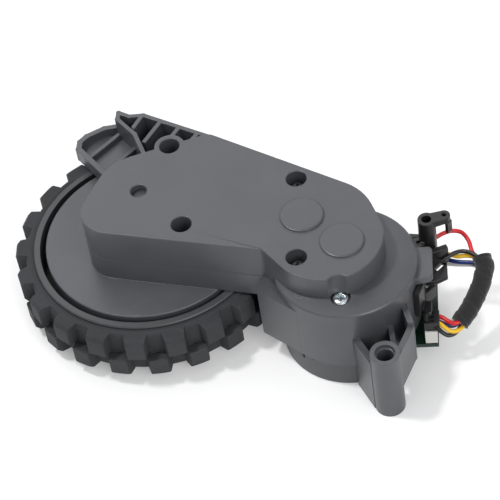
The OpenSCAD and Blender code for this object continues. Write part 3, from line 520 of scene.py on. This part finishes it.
def finish(name, colour, rough, grain=2500.0, bump=0.05, metal=0.0, wear_and_highlight_amount=0.25, wear_and_highlight_colour=None,
           vary=0.12, sheen=0.0, specular=0.5):
    """The base colour runs from the colour times one less vary, where the cloud is 0.3, to the
    colour times one plus vary, where it is 0.7, and is mixed with a lighter colour by the larger of
    edge and scratch: scratches are wear, and the lighter edges are partly wear and partly a painted
    highlight. Roughness is rough less 0.1 plus 0.2 times the cloud."""
    material = bpy.data.materials.new(name)
    material.use_nodes = True
    tree = material.node_tree
    tree.nodes.clear()
    shader = tree.nodes.new("ShaderNodeBsdfPrincipled")
    leave = tree.nodes.new("ShaderNodeOutputMaterial")
    tree.links.new(shader.outputs[0], leave.inputs["Surface"])
    shader.inputs["Metallic"].default_value = metal
    shader.inputs["Specular IOR Level"].default_value = specular
    shader.inputs["Sheen Weight"].default_value = sheen
    surface = place_group(tree, grain_group, "Scale", grain)
    wear_and_highlight_masks = place_group(tree, wear_and_highlight_group, "Amount", wear_and_highlight_amount)
    ramp = tree.nodes.new("ShaderNodeValToRGB")
    low, high = ramp.color_ramp.elements[0], ramp.color_ramp.elements[1]
    low.position, low.color = CLOUD_LOW, tinted(colour, 1 - vary)
    high.position, high.color = CLOUD_HIGH, tinted(colour, 1 + vary)
    tree.links.new(surface["Cloud"], ramp.inputs["Fac"])
    mix = tree.nodes.new("ShaderNodeMix")
    mix.data_type = "RGBA"
    # The lighter colour for scratches and edges; on edges it is partly wear, partly a painted
    # highlight
    wear_and_edge_highlight = tinted(wear_and_highlight_colour, 1) if wear_and_highlight_colour else tinted(colour, WEAR_AND_HIGHLIGHT_GAIN, WEAR_AND_HIGHLIGHT_LIFT)
    mix.inputs["B"].default_value = wear_and_edge_highlight
    tree.links.new(ramp.outputs["Color"], mix.inputs["A"])
    # Scratches (wear) and lighter edges (partly wear, partly a painted highlight)
    scratch_and_edge_highlight_mask = math_node(tree, "MAXIMUM", wear_and_highlight_masks["EdgeWearAndHighlight"], wear_and_highlight_masks["Scratch"])
    tree.links.new(scratch_and_edge_highlight_mask, mix.inputs["Factor"])
    tree.links.new(mix.outputs["Result"], shader.inputs["Base Color"])
    spread = math_node(tree, "MULTIPLY", surface["Cloud"], ROUGH_SPREAD)
    tree.links.new(math_node(tree, "ADD", spread, rough - ROUGH_SPREAD / 2),
                   shader.inputs["Roughness"])
    relief = tree.nodes.new("ShaderNodeBump")
    relief.inputs["Strength"].default_value = bump
    relief.inputs["Distance"].default_value = RELIEF
    tree.links.new(surface["Height"], relief.inputs["Height"])
    tree.links.new(relief.outputs["Normal"], shader.inputs["Normal"])
    return material


print(len(bpy.data.node_groups), "groups ready for the recipe")

# %% [markdown]
# The housing is satin grey plastic, the arm a shade lighter than the cover. The tyre is duller and
# dusty, the wires glossy, and the tape takes up nearly all light. Metals have a metallic base.

# %% Finishes
# wear sets the scratches and the lighter edges, which are partly a painted highlight
MOULDED = dict(grain=3500, bump=0.10, wear_and_highlight_amount=0.1)
BLACK = dict(colour=(0.012, 0.012, 0.013), grain=3000)
MACHINED = dict(rough=0.3, grain=2600, bump=0.05, metal=1.0)
PVC = dict(rough=0.34, grain=1500, bump=0.03, wear_and_highlight_amount=0.1)
FINISHES = {
    "cover_grey": dict(MOULDED, colour=(0.069, 0.071, 0.078), rough=0.36),
    "arm_grey": dict(MOULDED, colour=(0.073, 0.075, 0.082), rough=0.36),
    "cap_grey": dict(MOULDED, colour=(0.066, 0.068, 0.074), rough=0.42),
    "rim_grey": dict(colour=(0.045, 0.046, 0.05), rough=0.45, grain=3500, bump=0.08, wear_and_highlight_amount=0.2),
    "tread_rubber": dict(colour=(0.03, 0.031, 0.034), rough=0.72, grain=1600, bump=0.35, wear_and_highlight_amount=0.5,
                         wear_and_highlight_colour=(0.08, 0.08, 0.082), vary=0.25, specular=0.35),
    "bracket_black": dict(BLACK, rough=0.36, bump=0.08),
    "plug_black": dict(BLACK, rough=0.4, bump=0.06),
    "header_white": dict(colour=(0.78, 0.77, 0.72), rough=0.4, bump=0.04),
    "board_green": dict(colour=(0.003, 0.022, 0.011), rough=0.35, grain=1800, bump=0.12, vary=0.3),
    "steel_ground": dict(colour=(0.6, 0.6, 0.62), rough=0.3, grain=2200, bump=0.06, metal=1.0),
    "steel_dull": dict(colour=(0.10, 0.10, 0.105), rough=0.5, grain=2200, bump=0.1, metal=0.8),
    "steel_zinc": dict(colour=(0.78, 0.84, 0.88), rough=0.25, grain=1800, bump=0.08, metal=1.0),
    "steel_black": dict(colour=(0.12, 0.12, 0.125), rough=0.25, grain=2200, bump=0.06, metal=0.6),
    "bronze_bush": dict(colour=(0.5, 0.32, 0.15), rough=0.45, grain=2600, bump=0.15, metal=1.0),
    "copper_bars": dict(MACHINED, colour=(0.75, 0.38, 0.2)),
    "brass_pinion": dict(MACHINED, colour=(0.7, 0.52, 0.22)),
    "acetal": dict(colour=(0.8, 0.79, 0.74), rough=0.4, grain=2600, bump=0.04),
    "ferrite": dict(colour=(0.035, 0.035, 0.038), rough=0.6, grain=1500, bump=0.2),
    "core_iron": dict(colour=(0.2, 0.17, 0.15), rough=0.5, grain=1500, bump=0.2, metal=0.7),
    "tape_black": dict(colour=(0.018, 0.018, 0.019), rough=0.9, grain=2600, bump=0.9, wear_and_highlight_amount=0.1,
                       sheen=0.35, specular=0.2),
    "pvc_red": dict(PVC, colour=(0.62, 0.012, 0.018)),
    "pvc_black": dict(PVC, colour=(0.012, 0.012, 0.012)),
    "pvc_yellow": dict(PVC, colour=(0.82, 0.5, 0.02), rough=0.36),
    "pvc_blue": dict(PVC, colour=(0.012, 0.03, 0.16)),
    "pvc_white": dict(PVC, colour=(0.78, 0.76, 0.72), rough=0.38),
}
made = {name: finish(name, **values) for name, values in FINISHES.items()}
print(len(made), "finishes made")

# %% [markdown]
# A softened copy has its finish alone. A CAD node keeps its mesh as it is, and only the materials
# in its slots are changed, also on the pieces inside that no view shows.

# %% Which node wears which finish
WEARS = {
    "gear_case_cover": "cover_grey", "gear_case_body": "arm_grey", "motor_cap": "cap_grey",
    "wheel_rim": "rim_grey", "tyre": "tread_rubber", "wire_bracket": "bracket_black",
    "connector_header": "header_white", "connector_plug": "plug_black",
    "circuit_board": "board_green", "wheel_axle": "steel_dull",
    "gear_pins": "steel_ground", "motor_shaft": "steel_ground",
    "motor_can": "steel_zinc", "case_screw": "steel_zinc", "wheel_screw": "steel_zinc",
    "cover_screws": "steel_black", "motor_screws": "steel_black",
    "upper_axle_bush": "bronze_bush", "lower_axle_bush": "bronze_bush",
    "output_gear": "acetal", "first_gear": "acetal", "second_gear": "acetal",
    "third_gear": "acetal", "fourth_gear": "acetal", "motor_end_bell": "header_white",
    "motor_magnets": "ferrite", "encoder_magnet": "ferrite", "motor_brushes": "pvc_black",
    "motor_armature": "core_iron", "commutator": "copper_bars", "motor_pinion": "brass_pinion",
}


def dress(piece, material):
    """The piece has this material alone."""
    piece.data.materials.clear()
    piece.data.materials.append(material)


for node, name in WEARS.items():
    if node in soft:
        dress(soft[node], made[name])
        continue
    for node_slot in bpy.data.objects[node].material_slots:
        node_slot.material = made[name]
for name, piece in wires.items():
    dress(piece, made["pvc_" + name.replace("_wire", "")])
dress(sleeve, made["tape_black"])
print("finishes on", len(WEARS) + len(wires) + 1, "nodes")

# %% [markdown]
# ## Floor
# The module lies on a white sheet. The sheet's paleness comes from its own colour and a little glow
# that only the camera and reflections see, so the object isn't overlit from below.

# %% Floor
FLOOR_HALF = 2.0
FLOOR_WHITE = 0.8
FLOOR_GLOW = 0.2


def make_floor():
    """A square sheet at height 0, whose corners are the half breadth away along X and Y."""
    corners = np.array([[-1, -1, 0], [1, -1, 0], [1, 1, 0], [-1, 1, 0]]) * FLOOR_HALF
    floor = new_piece("sheet", corners, np.array([[0, 1, 2, 3]]), smooth=False)
    material = bpy.data.materials.new("white_sheet")
    material.use_nodes = True
    tree = material.node_tree
    tree.nodes.clear()
    leave = tree.nodes.new("ShaderNodeOutputMaterial")
    paper = tree.nodes.new("ShaderNodeBsdfDiffuse")
    paper.inputs["Color"].default_value = (FLOOR_WHITE, FLOOR_WHITE, FLOOR_WHITE, 1)
    glow = tree.nodes.new("ShaderNodeEmission")
    glow.inputs["Color"].default_value = (1, 1, 1, 1)
    rays = tree.nodes.new("ShaderNodeLightPath")
    seen = math_node(tree, "MAXIMUM", rays.outputs["Is Camera Ray"],
                     math_node(tree, "MAXIMUM", rays.outputs["Is Glossy Ray"],
                               rays.outputs["Is Transmission Ray"]))
    tree.links.new(math_node(tree, "MULTIPLY", seen, FLOOR_GLOW), glow.inputs["Strength"])
    total = tree.nodes.new("ShaderNodeAddShader")
    tree.links.new(paper.outputs[0], total.inputs[0])
    tree.links.new(glow.outputs[0], total.inputs[1])
    tree.links.new(total.outputs[0], leave.inputs["Surface"])
    dress(floor, material)
    return floor


floor = make_floor()
print("floor:", floor.name, "reaches", FLOOR_HALF, "m")

# %% [markdown]
# ## Light
# A bright even room lights the module from all sides. A small lamp high on the left draws the
# shadow, and two wide ones at the back left and front right give the edges their sheen.

# %% Light
ROOM_COLOUR, ROOM_STRENGTH = (0.97, 0.98, 1.0, 1), 0.58
AIM = (0.03, 0, 0)
LAMPS = {
    "overhead": ((-0.38, -0.1, 1.05), 0.12, 5.0),
    "back_left": ((-0.6, 0.7, 0.9), 0.9, 3.5),
    "front_right": ((0.8, -0.5, 0.7), 0.6, 5.0),
}
world = bpy.data.worlds.new("soft_room")
bpy.context.scene.world = world
world.use_nodes = True
background = world.node_tree.nodes["Background"]
background.inputs["Color"].default_value = ROOM_COLOUR
background.inputs["Strength"].default_value = ROOM_STRENGTH


def soft_lamp(name, place, size, watts):
    """A square lamp whose back column is the unit vector from the aim to the place."""
    data = bpy.data.lights.new(name, "AREA")
    data.energy, data.size = watts, size
    lamp = bpy.data.objects.new(name, data)
    bpy.context.scene.collection.objects.link(lamp)
    back = np.array(place) - np.array(AIM)
    back /= np.linalg.norm(back)
    right = np.cross([0, 0, 1.0], back)
    right /= np.linalg.norm(right)
    turn = np.eye(4)
    turn[:3, 0], turn[:3, 1], turn[:3, 2], turn[:3, 3] = right, np.cross(back, right), back, place
    lamp.matrix_world = Matrix(turn.tolist())
    return lamp


for name, (place, size, watts) in LAMPS.items():
    soft_lamp(name, place, size, watts)
    print(name, "lamp of", watts, "W,", size, "m wide")
bpy.context.scene.view_settings.view_transform = "Standard"
